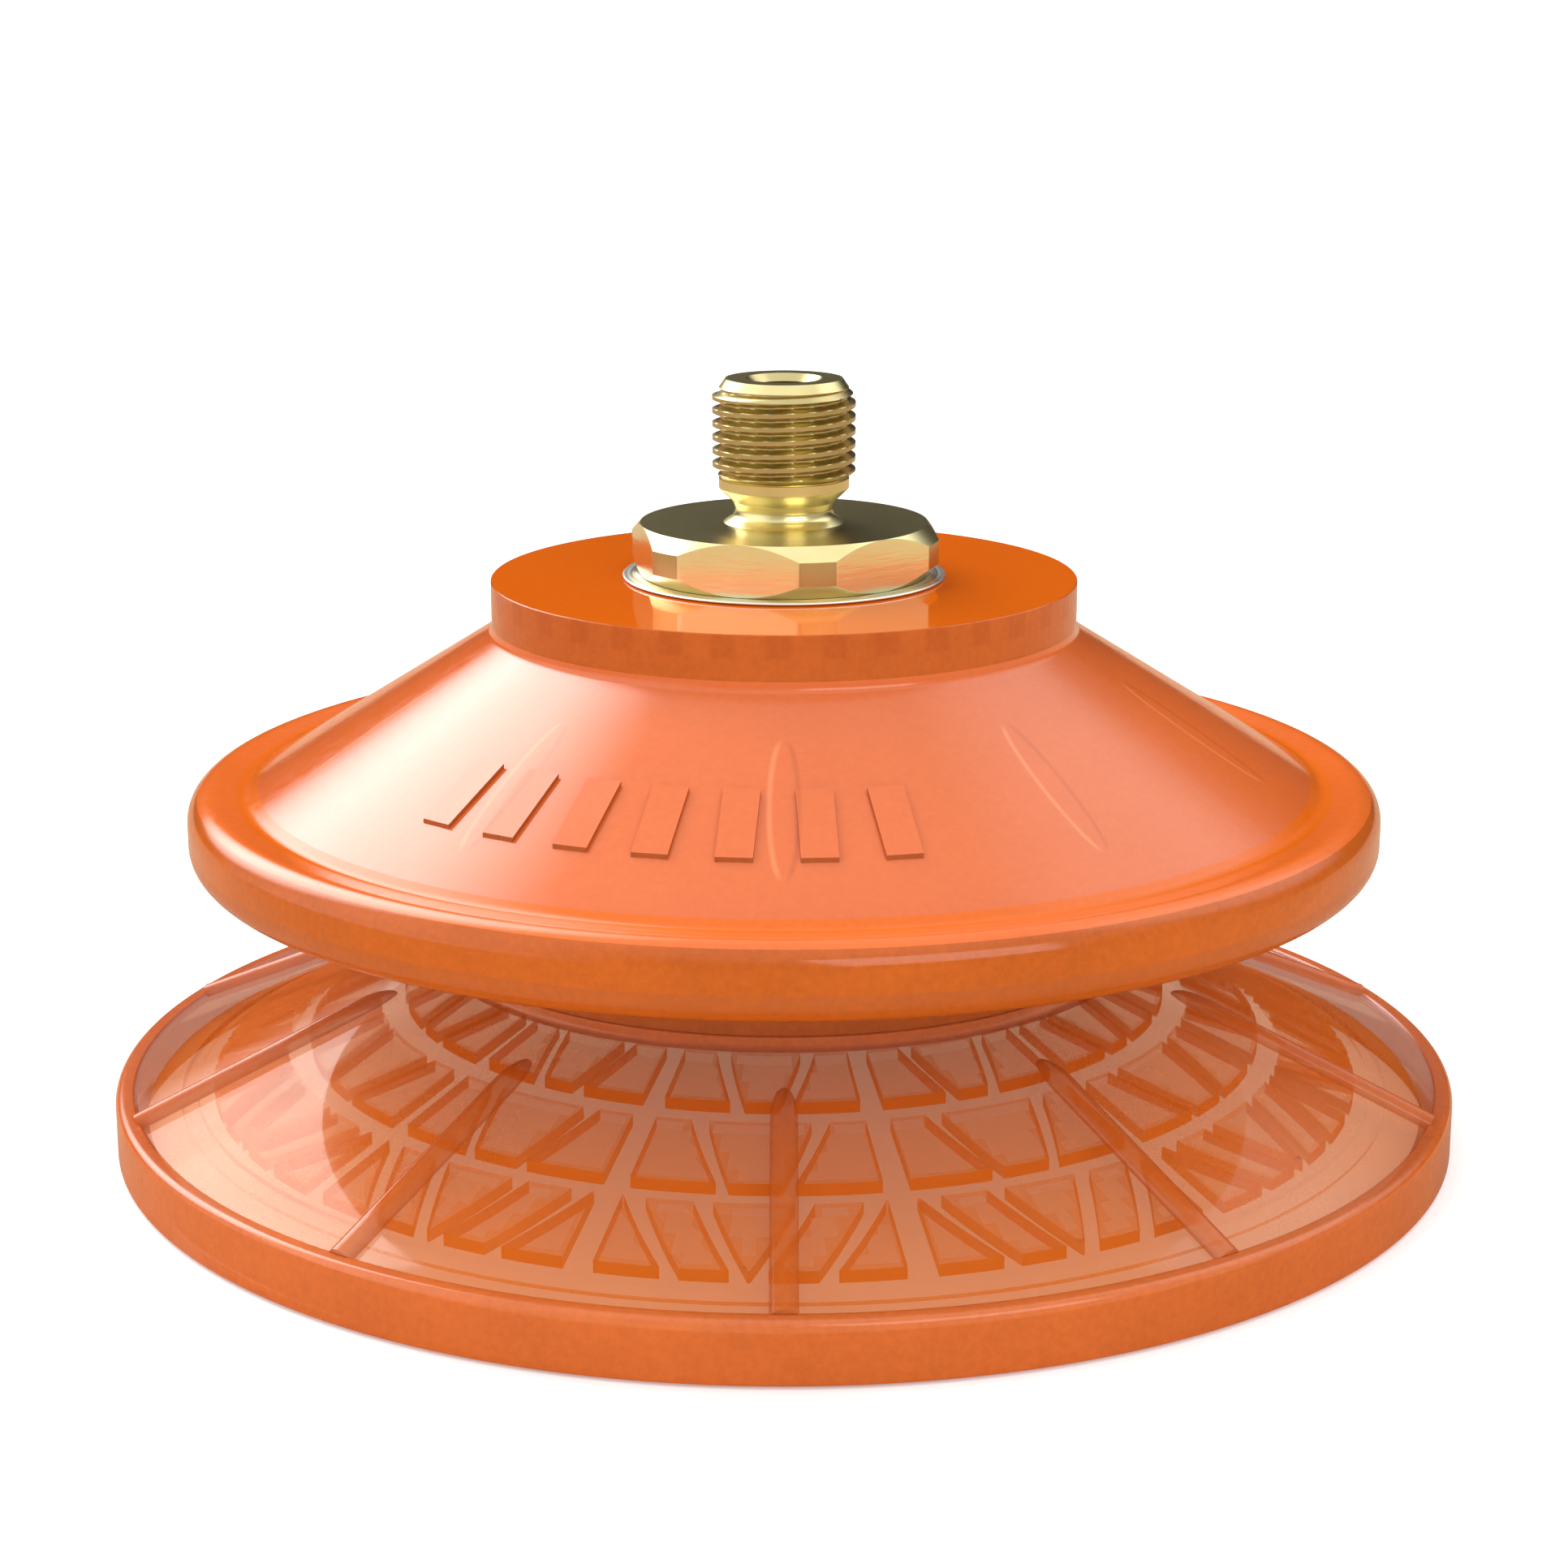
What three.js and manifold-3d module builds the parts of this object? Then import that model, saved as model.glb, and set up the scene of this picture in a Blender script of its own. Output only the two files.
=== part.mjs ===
// Bellows suction cup, 93 mm lip, with a G1/8 male fitting. Millimetres, +Z up the fitting,
// origin at the centre of the lip's bottom plane.
import * as THREE from 'three';
import { mergeVertices } from 'three/addons/utils/BufferGeometryUtils.js';
import Module from 'manifold-3d';

const wasm = await Module();
wasm.setup();

// ---- driving dimensions -------------------------------------------------------------------
const GAP = 0.3;                 // clearance between neighbouring solids
const RING_STEPS = 60;           // facets round the moulded rings
const METAL_STEPS = 32;          // facets round the small turned pieces

const TOP_Z = 52.0;              // free end of the male thread
const HEX_TOP_Z = 42.25;
const HEX_FLATS = 19.6;          // across flats
const HEX_TURNED_R = 10.67;      // corners turned back to this radius
const HEX_FACE_R = 9.8;          // chamfer circle on the top and bottom of the hexagon
const HEX_CHAMFER = 0.95;
const HEX_TURN = THREE.MathUtils.degToRad(-18);   // one corner, from +X
const WASHER_R = 11.05;
const WASHER_T = 0.25;

const THREAD_MAJOR_R = 4.86;     // G1/8: 9.728 mm major, 8.566 mm minor, 0.907 mm pitch
const THREAD_MINOR_R = 4.28;
const THREAD_PITCH = 0.907;
const THREAD_LOW_Z = 45.3;
const THREAD_HIGH_Z = 51.4;
const THREAD_ROWS = 5;           // profile rows in one pitch
const END_CHAMFER_R = 4.45;      // the thread's free end, chamfered to END_FACE_R
const END_FACE_R = 3.98;
const RELIEF_R = 4.43;
const FLARE_R = 4.09;            // foot of the neck above the hexagon
const WAIST_R = 3.32;            // thinnest part of the neck
const PORT_R = 2.1;              // M5 female port
const PORT_MOUTH_R = 2.54;
const PORT_DEPTH = 9.0;
const SPIGOT_R = 4.9;            // lower stem that carries the clamp nut
const SPIGOT_LOW_Z = 27.6;
const SPIGOT_CHAMFER = 0.5;
const BORE_R = 2.9;
const FILTER_SEAT_R = 3.75;
const FILTER_SEAT_Z = 30.0;
const SCREEN_T = 0.35;
const SCREEN_HOLE_R = 0.55;
const SCREEN_HOLE_ROWS = [[0, 1], [1.7, 6]];   // [row radius, holes]
const FILTER_RING_H = 0.8;

const COLLAR_R = 20.0;
const COLLAR_TOP_Z = 38.5;
const COLLAR_LOW_Z = 34.7;
const COLLAR_BORE_R = SPIGOT_R + GAP;
const SEAL_POCKET_R = 7.2;
const SEAL_POCKET_Z = 37.0;
const SEAL_R = 6.2;              // O-ring under the washer
const SEAL_T = 1.4;
const INSERT_IN_R = 11.5;        // castellated ring under the collar's top face
const INSERT_OUT_R = 17.2;
const INSERT_LOW_Z = 34.9;
const INSERT_TOP_Z = 37.5;
const INSERT_TEETH = 36;
const SLOT_H = 1.0;              // height of the gaps between the teeth
const SLOT_DEEP = 1.5;
const CLAMP_R = 17.6;
const CLAMP_T = 1.3;
const NUT_FLATS = 16.0;
const NUT_TURNED_R = 8.9;
const NUT_FACE_R = 7.9;
const NUT_CHAMFER = 0.5;
const NUT_H = 3.2;

const WALL_TOP = [20.2, 34.5];   // outer line of the upper bellows wall, [radius, height]
const WALL_LOW = [36.7, 24.45];
const WALL_T = 2.2;
const BULGE_R = 40.9;
const BULGE_TOP_Z = 24.8;
const BULGE_LOW_Z = 20.0;
const BULGE_IN_R = 36.6;
const BULGE_TOP_ROUND = 1.84;
const BULGE_LOW_ROUND = 2.0;
const FOLD_OUT = [36.1, 19.2];   // underside line of the lower bellows wall
const FOLD_IN = [24.6, 16.3];
const FOLD_T = 1.7;

const NECK_R = 24.0;
const NECK_IN_R = 21.8;
const NECK_TOP_Z = 16.0;
const DISH_IN = [24.0, 12.84];   // top line of the lip dish
const DISH_OUT = [44.9, 3.95];
const DISH_T = 1.9;
const DISH_EDGE_T = 1.3;
const RIM_R = 46.6;
const RIM_IN_R = 45.2;
const RIM_TOP_Z = 4.09;
const RIM_ROUND = 0.7;
const RIB_COUNT = 10;
const RIB_R = 0.87;              // half-round ribs on top of the dish
const RIB_FROM_R = 28.1;
const RIB_TO_R = 44.6;

// ---- materials ----------------------------------------------------------------------------
const finish = (color, roughness, metalness) => new THREE.MeshStandardMaterial({ color, roughness, metalness });
const FIRM = finish(0xd9661a, 0.35, 0);
const SOFT = finish(0xe07a45, 0.3, 0);
const BRASS = finish(0xc9ae5d, 0.25, 1);
const STEEL = finish(0xc4c2bc, 0.25, 1);
const RUBBER = finish(0x161616, 0.6, 0);
const GAUZE = finish(0x9a9a96, 0.4, 1);

const cup = new THREE.Group();

function addMesh(name, geometry, material, parent = cup) {
  const mesh = new THREE.Mesh(geometry, material);
  mesh.name = name;
  parent.add(mesh);
  return mesh;
}

// ---- shape helpers ------------------------------------------------------------------------
function bare(geometry) {
  geometry.deleteAttribute('normal');
  geometry.deleteAttribute('uv');
  return mergeVertices(geometry, 1e-4);
}

function toSolid(geometry) {
  const g = bare(geometry);
  const shell = { numProp: 3, vertProperties: new Float32Array(g.attributes.position.array) };
  shell.triVerts = new Uint32Array(g.index.array);
  return new wasm.Manifold(new wasm.Mesh(shell));
}

function toGeometry(solid) {
  const shell = solid.getMesh();
  const g = new THREE.BufferGeometry();
  g.setAttribute('position', new THREE.BufferAttribute(shell.vertProperties, 3));
  g.setIndex(new THREE.BufferAttribute(shell.triVerts, 1));
  return g;
}

// Points along an arc in the [radius, height] half-plane, ends included.
function arc(centre, radius, fromDeg, toDeg, steps = 3) {
  return Array.from({ length: steps + 1 }, (_, i) => {
    const a = THREE.MathUtils.degToRad(fromDeg + (toDeg - fromDeg) * i / steps);
    return [centre[0] + radius * Math.cos(a), centre[1] + radius * Math.sin(a)];
  });
}

// The line from a to b moved sideways by t, to the right of its direction.
function beside(a, b, t) {
  const [dx, dz] = [b[0] - a[0], b[1] - a[1]];
  const n = [dz * t / Math.hypot(dx, dz), -dx * t / Math.hypot(dx, dz)];
  return [[a[0] + n[0], a[1] + n[1]], [b[0] + n[0], b[1] + n[1]]];
}

// A closed ring about +Z from an outline of [radius, height] points.
function ring(outline, steps = RING_STEPS) {
  const points = outline.map(([r, z]) => new THREE.Vector2(r, z));
  if (THREE.ShapeUtils.area(points) < 0) points.reverse();
  points.push(points[0].clone());
  return new THREE.LatheGeometry(points, steps).rotateX(Math.PI / 2);
}

// A hexagonal prism about +Z, one corner turned to the given angle from +X.
function hexPrism(flats, lowZ, height, turn) {
  const corner = flats / Math.sqrt(3);
  const outline = new THREE.Shape(Array.from({ length: 6 }, (_, i) => {
    const a = turn + i * Math.PI / 3;
    return new THREE.Vector2(corner * Math.cos(a), corner * Math.sin(a));
  }));
  return new THREE.ExtrudeGeometry(outline, { depth: height, bevelEnabled: false }).translate(0, 0, lowZ);
}

// A hexagon whose corners are turned round and chamfered at both ends.
function turnedHexagon(flats, turnedR, faceR, chamfer, lowZ, highZ, turn) {
  const blank = ring([
    [0, lowZ], [faceR, lowZ], [turnedR, lowZ + chamfer],
    [turnedR, highZ - chamfer], [faceR, highZ], [0, highZ],
  ], 60);
  return toSolid(blank).intersect(toSolid(hexPrism(flats, lowZ - 1, highZ - lowZ + 2, turn)));
}

// ---- fitting ------------------------------------------------------------------------------
// Right-hand V thread: the radius at a height and an angle, faded out at both ends.
function threadRadius(z, angle) {
  const turns = (z - THREAD_LOW_Z) / THREAD_PITCH - angle / (2 * Math.PI);
  const phase = turns - Math.floor(turns);
  const crest = THREE.MathUtils.clamp(1.5 - Math.abs(phase - 0.5) * 4 + 0.25, 0, 1);
  return THREAD_MINOR_R + (THREAD_MAJOR_R - THREAD_MINOR_R) * crest;
}

function stem() {
  const rows = Math.round((THREAD_HIGH_Z - THREAD_LOW_Z) / THREAD_PITCH * THREAD_ROWS);
  const rowZ = Array.from({ length: rows - 1 }, (_, i) =>
    THREAD_LOW_Z + (THREAD_HIGH_Z - THREAD_LOW_Z) * (i + 1) / rows);
  const outline = [
    [SPIGOT_R - SPIGOT_CHAMFER, SPIGOT_LOW_Z], [SPIGOT_R, SPIGOT_LOW_Z + SPIGOT_CHAMFER], [SPIGOT_R, HEX_TOP_Z - 2],
    [FLARE_R, HEX_TOP_Z - 1], [FLARE_R, HEX_TOP_Z], [3.5, HEX_TOP_Z + 0.35], [WAIST_R, HEX_TOP_Z + 0.9],
    [3.6, HEX_TOP_Z + 1.55], [RELIEF_R, HEX_TOP_Z + 2.4], [RELIEF_R, THREAD_LOW_Z],
    ...rowZ.map((z) => [THREAD_MAJOR_R, z]),
    [END_CHAMFER_R, THREAD_HIGH_Z], [END_FACE_R, TOP_Z], [PORT_MOUTH_R, TOP_Z], [PORT_R, TOP_Z - 0.45],
    [PORT_R, TOP_Z - PORT_DEPTH], [BORE_R, TOP_Z - PORT_DEPTH - 0.8], [BORE_R, FILTER_SEAT_Z],
    [FILTER_SEAT_R, FILTER_SEAT_Z], [FILTER_SEAT_R, SPIGOT_LOW_Z],
  ];
  const geometry = ring(outline, METAL_STEPS);
  const at = geometry.attributes.position;
  for (let i = 0; i < at.count; i += 1) {
    const [x, y, z] = [at.getX(i), at.getY(i), at.getZ(i)];
    const threaded = Math.hypot(x, y) > PORT_MOUTH_R + 0.5 && z > THREAD_LOW_Z + 0.01 && z < THREAD_HIGH_Z - 0.01;
    if (!threaded) continue;
    const angle = Math.atan2(y, x);
    const r = threadRadius(z, angle);
    at.setXY(i, r * Math.cos(angle), r * Math.sin(angle));
  }
  return toSolid(geometry);
}

const hexagon = turnedHexagon(HEX_FLATS, HEX_TURNED_R, HEX_FACE_R, HEX_CHAMFER,
  COLLAR_TOP_Z + WASHER_T, HEX_TOP_Z, HEX_TURN);
const hexBore = toSolid(ring([
  [0, COLLAR_TOP_Z - 1], [BORE_R + 0.6, COLLAR_TOP_Z - 1], [BORE_R + 0.6, HEX_TOP_Z + 1], [0, HEX_TOP_Z + 1],
], METAL_STEPS));
addMesh('threaded_fitting', toGeometry(hexagon.subtract(hexBore).add(stem())), BRASS);

addMesh('flange_washer', ring([
  [SPIGOT_R + GAP, COLLAR_TOP_Z], [WASHER_R, COLLAR_TOP_Z],
  [WASHER_R - 0.1, COLLAR_TOP_Z + WASHER_T - 0.02], [SPIGOT_R + GAP, COLLAR_TOP_Z + WASHER_T - 0.02],
], METAL_STEPS), STEEL);

addMesh('collar_seal', ring(arc([SEAL_R, SEAL_POCKET_Z + SEAL_T / 2], SEAL_T / 2, 0, 315, 7), METAL_STEPS), RUBBER);

// ---- clamping pieces inside the collar ------------------------------------------------------
function clampInsert() {
  let body = toSolid(ring([
    [INSERT_IN_R, INSERT_LOW_Z], [INSERT_OUT_R, INSERT_LOW_Z],
    [INSERT_OUT_R, INSERT_TOP_Z], [INSERT_IN_R, INSERT_TOP_Z],
  ], INSERT_TEETH * 2));
  const slotWidth = Math.PI * INSERT_OUT_R / INSERT_TEETH;
  for (let i = 0; i < INSERT_TEETH; i += 1) {
    const slot = new THREE.BoxGeometry(SLOT_DEEP * 2, slotWidth, SLOT_H * 2);
    slot.translate(INSERT_OUT_R, 0, INSERT_TOP_Z).rotateZ(i * 2 * Math.PI / INSERT_TEETH);
    body = body.subtract(toSolid(slot));
  }
  return toGeometry(body);
}

addMesh('clamp_insert', clampInsert(), STEEL);

const clampTopZ = COLLAR_LOW_Z - GAP;
addMesh('clamp_washer', ring([
  [SPIGOT_R + GAP, clampTopZ - CLAMP_T], [CLAMP_R, clampTopZ - CLAMP_T],
  [CLAMP_R, clampTopZ], [SPIGOT_R + GAP, clampTopZ],
]), STEEL);

const nutTopZ = clampTopZ - CLAMP_T - 0.05;
const nutBlank = turnedHexagon(NUT_FLATS, NUT_TURNED_R, NUT_FACE_R, NUT_CHAMFER, nutTopZ - NUT_H, nutTopZ, 0);
const nutBore = toSolid(ring([
  [0, nutTopZ - NUT_H - 1], [SPIGOT_R + 0.1, nutTopZ - NUT_H - 1],
  [SPIGOT_R + 0.1, nutTopZ + 1], [0, nutTopZ + 1],
], METAL_STEPS));
addMesh('clamp_nut', toGeometry(nutBlank.subtract(nutBore)), BRASS);

// Strainer disc: a round plate with rings of holes.
function strainer(radius, lowZ, thickness) {
  const outline = new THREE.Shape().absarc(0, 0, radius, 0, Math.PI * 2);
  for (const [at, count] of SCREEN_HOLE_ROWS) {
    for (let i = 0; i < count; i += 1) {
      const a = i * 2 * Math.PI / count;
      outline.holes.push(new THREE.Path().absarc(at * Math.cos(a), at * Math.sin(a), SCREEN_HOLE_R, 0, Math.PI * 2));
    }
  }
  const options = { depth: thickness, bevelEnabled: false, curveSegments: 6 };
  return new THREE.ExtrudeGeometry(outline, options).translate(0, 0, lowZ);
}

addMesh('filter_screen', strainer(FILTER_SEAT_R - 0.15, FILTER_SEAT_Z - 0.6, SCREEN_T), GAUZE);

const filterRingTopZ = FILTER_SEAT_Z - 0.8;
addMesh('filter_ring', ring([
  [BORE_R, filterRingTopZ - FILTER_RING_H], [FILTER_SEAT_R - 0.1, filterRingTopZ - FILTER_RING_H],
  [FILTER_SEAT_R - 0.1, filterRingTopZ], [BORE_R, filterRingTopZ],
], METAL_STEPS), STEEL);

// ---- moulded cup: firm upper part ----------------------------------------------------------
addMesh('collar', ring([
  [SEAL_POCKET_R, COLLAR_TOP_Z], [SEAL_POCKET_R, SEAL_POCKET_Z], [COLLAR_BORE_R, SEAL_POCKET_Z],
  [COLLAR_BORE_R, COLLAR_LOW_Z], [INSERT_IN_R - GAP, COLLAR_LOW_Z], [INSERT_IN_R - GAP, INSERT_TOP_Z + GAP],
  [INSERT_OUT_R + GAP, INSERT_TOP_Z + GAP], [INSERT_OUT_R + GAP, COLLAR_LOW_Z],
  [COLLAR_R - 0.4, COLLAR_LOW_Z], [COLLAR_R, COLLAR_LOW_Z + 0.5], [COLLAR_R, COLLAR_TOP_Z],
]), FIRM);

const [wallInTop, wallInLow] = beside(WALL_TOP, WALL_LOW, WALL_T);
addMesh('upper_bellows_wall', ring([WALL_TOP, WALL_LOW, wallInLow, wallInTop]), FIRM);

addMesh('bellows_convolution', ring([
  [BULGE_IN_R + GAP, BULGE_TOP_Z - 0.4], [37.6, BULGE_TOP_Z],
  ...arc([BULGE_R - BULGE_TOP_ROUND, BULGE_TOP_Z - BULGE_TOP_ROUND], BULGE_TOP_ROUND, 90, 0),
  ...arc([BULGE_R - BULGE_LOW_ROUND, BULGE_LOW_Z + BULGE_LOW_ROUND], BULGE_LOW_ROUND, 0, -90),
  [BULGE_IN_R + 1.4, BULGE_LOW_Z], [BULGE_IN_R - 0.2, BULGE_LOW_Z + 1.7], [BULGE_IN_R - 0.2, BULGE_TOP_Z - 2.4],
]), FIRM);

const [foldTopOut, foldTopIn] = beside(FOLD_IN, FOLD_OUT, -FOLD_T).reverse();
addMesh('lower_bellows_wall', ring([FOLD_IN, FOLD_OUT, foldTopOut, foldTopIn]), FIRM);

addMesh('bellows_neck', ring([
  [NECK_IN_R, DISH_IN[1] + GAP], [NECK_R, DISH_IN[1] + GAP], [NECK_R, NECK_TOP_Z], [NECK_IN_R, NECK_TOP_Z],
]), FIRM);

// ---- moulded cup: soft lip -----------------------------------------------------------------
const [dishLowIn] = beside(DISH_IN, DISH_OUT, DISH_T);
const [, dishLowOut] = beside(DISH_IN, DISH_OUT, DISH_EDGE_T);
addMesh('lip_dish', ring([
  [NECK_IN_R, DISH_IN[1]], DISH_IN, DISH_OUT, dishLowOut, dishLowIn, [NECK_IN_R, dishLowIn[1]],
]), SOFT);

addMesh('lip_rim', ring([
  [RIM_IN_R, 0], [RIM_R - 0.2, 0], [RIM_R, 0.2],
  ...arc([RIM_R - RIM_ROUND, RIM_TOP_Z - RIM_ROUND], RIM_ROUND, 0, 90),
  [RIM_IN_R, RIM_TOP_Z - 0.3],
]), SOFT);

// Half-round stiffening ribs along the slope of the dish.
const slope = Math.atan2(DISH_IN[1] - DISH_OUT[1], DISH_OUT[0] - DISH_IN[0]);
const ribOutline = new THREE.Shape().absarc(0, 0, RIB_R, 0, Math.PI);
for (let i = 0; i < RIB_COUNT; i += 1) {
  const length = (RIB_TO_R - RIB_FROM_R) / Math.cos(slope);
  const rib = new THREE.ExtrudeGeometry(ribOutline, { depth: length, bevelEnabled: false, curveSegments: 8 });
  rib.rotateX(Math.PI / 2).rotateZ(Math.PI / 2).rotateY(slope);
  const spoke = new THREE.Group();
  spoke.rotation.z = -Math.PI / 2 + i * 2 * Math.PI / RIB_COUNT;
  cup.add(spoke);
  const number = String(i + 1).padStart(2, '0');
  const placed = addMesh(`lip_rib_${number}`, rib, SOFT, spoke);
  placed.position.set(RIB_FROM_R, 0, DISH_IN[1] - (RIB_FROM_R - DISH_IN[0]) * Math.tan(slope) + GAP);
}

export default cup;
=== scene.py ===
"""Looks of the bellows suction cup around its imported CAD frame. Lengths are in mm, times MM."""
import math

import bpy
import numpy as np
from mathutils import Matrix, Vector


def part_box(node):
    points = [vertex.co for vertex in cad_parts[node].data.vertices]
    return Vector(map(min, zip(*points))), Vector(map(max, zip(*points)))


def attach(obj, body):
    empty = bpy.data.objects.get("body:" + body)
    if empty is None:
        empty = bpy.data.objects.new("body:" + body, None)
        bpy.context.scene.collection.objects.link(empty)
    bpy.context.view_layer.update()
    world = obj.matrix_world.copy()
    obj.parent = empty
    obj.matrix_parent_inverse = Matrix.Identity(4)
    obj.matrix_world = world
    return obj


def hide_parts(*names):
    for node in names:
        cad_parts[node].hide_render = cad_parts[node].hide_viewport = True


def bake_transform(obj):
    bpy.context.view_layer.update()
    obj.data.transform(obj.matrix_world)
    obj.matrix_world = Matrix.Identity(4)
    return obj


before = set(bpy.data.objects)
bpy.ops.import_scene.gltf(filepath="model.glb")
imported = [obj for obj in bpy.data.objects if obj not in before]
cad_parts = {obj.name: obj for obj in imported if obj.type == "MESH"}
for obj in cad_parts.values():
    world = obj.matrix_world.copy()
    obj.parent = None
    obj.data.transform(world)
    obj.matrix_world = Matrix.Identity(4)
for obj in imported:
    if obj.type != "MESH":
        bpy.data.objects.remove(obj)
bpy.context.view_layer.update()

MM = 0.001
TAU = 2 * math.pi
AROUND = 288                    # steps round the moulded skins


# ---- places read from the frame ------------------------------------------------------------
def top_of(node):
    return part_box(node)[1].z / MM


def low_of(node):
    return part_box(node)[0].z / MM


def radius_of(node):
    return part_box(node)[1].x / MM


COLLAR_TOP = top_of("collar")
COLLAR_R = radius_of("collar")
BULGE_R = radius_of("bellows_convolution")
BULGE_LOW = low_of("bellows_convolution")
BULGE_TOP = top_of("bellows_convolution")
NECK_R = radius_of("bellows_neck")
RIM_R = radius_of("lip_rim")
RIM_TOP = top_of("lip_rim")
FIT_TOP = top_of("threaded_fitting")
FIT_LOW = low_of("threaded_fitting")
WASHER_R = radius_of("flange_washer")

# ---- sizes the frame doesn't state -----------------------------------------------------------
CONE_TOP = (20.05, 34.93)       # outer line of the upper wall, (radius, height)
CONE_LOW = (36.9, 24.38)
WALL_T = 2.2
CREASE_R = 36.1                 # where the cone runs into the valley beside the bead
DISH_TOP_Z = 12.84              # where the dish's top line meets the neck
DISH_SLOPE = 0.4254             # its fall for each millimetre of radius
DISH_SKIN = 1.75                # upright distance from the dish's top to its underside
WALL_IN = (18.4, 34.6)          # inner line at the collar's underside, (radius, height)
COLLAR_LOW = 34.6
BORE_R, SEAL_SEAT_R = 5.2, 7.2
SEAL_SEAT_Z = 37.0
INSERT_ROOM = (11.2, 17.5)      # radii of the room for the insert in the collar's underside
INSERT_ROOM_TOP = 37.8
FOLD_EDGE = (37.5, 19.62)       # where bead and lower wall meet outside
BEAD_IN = (36.9, 21.35)         # and inside
NECK_IN_R = 21.9
NECK_TOP, NECK_LOW = 16.25, 13.5
CLEAT_H = 0.8
CLEAT_UNITS = 12
CLEAT_TURN = -3.0               # degrees from the front to the middle of the front unit
RIB_COUNT = 10
RIB_R = 0.875
RIB_IN = (23.6, 33.6)           # radii where a rib inside the cone starts and ends
RIB_IN_HALF = 0.9               # half its greatest width


def dish_z(r, below=0.0):
    return DISH_TOP_Z - DISH_SLOPE * (r - NECK_R) - below


def cone_z(r):
    (r0, z0), (r1, z1) = CONE_TOP, CONE_LOW
    return z0 + (z1 - z0) * (r - r0) / (r1 - r0)


def polar(r, azimuth, z):
    """A point at an azimuth in degrees from the front (-Y), positive towards +X."""
    a = math.radians(azimuth)
    return (r * math.sin(a) * MM, -r * math.cos(a) * MM, z * MM)


# ---- mesh helpers ----------------------------------------------------------------------------
def add_object(name, verts, faces, materials, indices=None, sharp=32):
    mesh = bpy.data.meshes.new(name)
    mesh.from_pydata([tuple(v) for v in verts], [], [tuple(f) for f in faces])
    for material in materials:
        mesh.materials.append(material)
    if indices is not None:
        mesh.polygons.foreach_set("material_index", indices)
    mesh.validate()
    finish_normals(mesh, sharp)
    obj = bpy.data.objects.new(name, mesh)
    bpy.context.scene.collection.objects.link(obj)
    return obj


def finish_normals(mesh, sharp):
    mesh.polygons.foreach_set("use_smooth", [True] * len(mesh.polygons))
    mesh.set_sharp_from_angle(angle=math.radians(sharp))
    mesh.update()


def rounded(corners, step=0.8):
    """A line through (r, z, fillet radius) corners, with arcs at them and short steps between."""
    points = [Vector(c[:2]) for c in corners]
    path = [points[0]]
    for i in range(1, len(corners) - 1):
        radius = corners[i][2] if len(corners[i]) > 2 else 0
        before, at, after = points[i - 1], points[i], points[i + 1]
        u, v = (before - at).normalized(), (after - at).normalized()
        half = u.angle(v) / 2
        if radius <= 0 or half > math.radians(89.5):
            path.append(at)
            continue
        room = 0.49 * min((before - at).length, (after - at).length)
        reach = min(radius / math.tan(half), room)
        radius = reach * math.tan(half)
        centre = at + (u + v).normalized() * (radius / math.sin(half))
        start, end = at + u * reach - centre, at + v * reach - centre
        turn = start.angle_signed(end)
        steps = max(2, math.ceil(abs(turn) / math.radians(9)))
        for k in range(steps + 1):
            a = -turn * k / steps
            path.append(centre + Matrix.Rotation(a, 2) @ start)
    path.append(points[-1])
    dense = [path[0]]
    for p, q in zip(path, path[1:]):
        parts = max(1, math.ceil((q - p).length / step))
        dense += [p.lerp(q, k / parts) for k in range(1, parts + 1)]
    return [tuple(p) for p in dense]


def lathe(name, parts, materials, steps=AROUND, sharp=32, shape=None):
    """A closed ring from parts, a list of (line, material index) that follow each other and close.
    shape(r, z, angle) may give a new radius for a point."""
    line, marks = [], []
    for points, mark in parts:
        for p in points:
            if not line or (Vector(p) - Vector(line[-1])).length > 1e-5:
                line.append(p)
                marks.append(mark)
    if (Vector(line[0]) - Vector(line[-1])).length < 1e-5:
        line.pop()
        marks.pop()
    count = len(line)
    verts = []
    for j in range(steps):
        a = TAU * j / steps
        for r, z in line:
            radius = shape(r, z, a) if shape else r
            verts.append((radius * math.cos(a) * MM, radius * math.sin(a) * MM, z * MM))
    faces, indices = [], []
    area = sum(a[0] * b[1] - b[0] * a[1] for a, b in zip(line, line[1:] + line[:1]))
    for j in range(steps):
        k = (j + 1) % steps
        for i in range(count):
            n = (i + 1) % count
            face = (j * count + i, k * count + i, k * count + n, j * count + n)
            faces.append(face if area > 0 else face[::-1])
            indices.append(marks[n] if n else marks[0])
    return add_object(name, verts, faces, materials, indices, sharp)


def joined(name, pieces, materials):
    """One mesh from (verts, faces, indices) pieces."""
    verts, faces, indices = [], [], []
    for v, f, m in pieces:
        faces += [tuple(i + len(verts) for i in face) for face in f]
        verts += list(v)
        indices += list(m)
    return add_object(name, verts, faces, materials, indices)


def combine(target, tool, operation, sharp=32):
    """Applies a boolean of tool to target, and removes tool."""
    modifier = target.modifiers.new("join", "BOOLEAN")
    modifier.operation = operation
    modifier.solver = "MANIFOLD"
    modifier.object = tool
    bpy.context.view_layer.update()
    evaluated = target.evaluated_get(bpy.context.evaluated_depsgraph_get())
    made = bpy.data.meshes.new_from_object(evaluated)
    target.modifiers.clear()
    target.data = made
    bpy.data.objects.remove(tool)
    finish_normals(made, sharp)
    return target


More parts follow.
